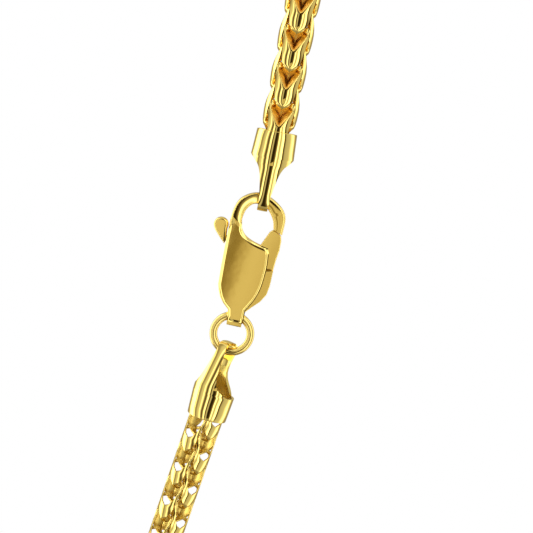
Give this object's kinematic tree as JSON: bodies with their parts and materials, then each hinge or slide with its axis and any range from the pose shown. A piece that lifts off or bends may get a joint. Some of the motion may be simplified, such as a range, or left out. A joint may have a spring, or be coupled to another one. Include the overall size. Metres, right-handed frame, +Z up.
{
  "type": "franco chain necklace",
  "caption": "Polished gold-coloured franco chain necklace of folded crossing links, closed by folded end caps, a jump ring and a lobster clasp with a sprung lever.",
  "frame": {"origin": "top of the loop, on the chain's middle line, where it rests on the nape", "axes": "+Z up, +X to the wearer's clasp side as seen from the camera, +Y away from the camera; the loop leans 7 degrees, its lower end away from the camera"},
  "size_m": [0.1379, 0.0324, 0.222],
  "materials": {
    "gold_links": "polished gold plate",
    "gold_cap": "polished gold plate",
    "gold_ring": "polished gold plate",
    "gold_clasp": "polished gold plate",
    "gold_pin": "polished gold plate",
    "gold_lever": "polished gold plate"
  },
  "bodies": {
    "necklace": {"chain_near": "gold_links", "chain_far": "gold_links", "upper_end_cap": "gold_cap", "lower_end_cap": "gold_cap", "jump_ring": "gold_ring", "clasp_body": "gold_clasp", "lever_pin": "gold_pin"},
    "lever": {"clasp_lever": "gold_lever"}
  },
  "joints": [
    {"name": "lever_hinge", "type": "hinge", "parent": "necklace", "child": "lever", "pos_m": [0.05645, 0.01535, -0.125], "axis": [0, -0.9925, -0.1219], "range_deg": [0, 22], "stiffness_Nm_per_rad": 0.02, "springref_deg": -11.46}
  ]
}
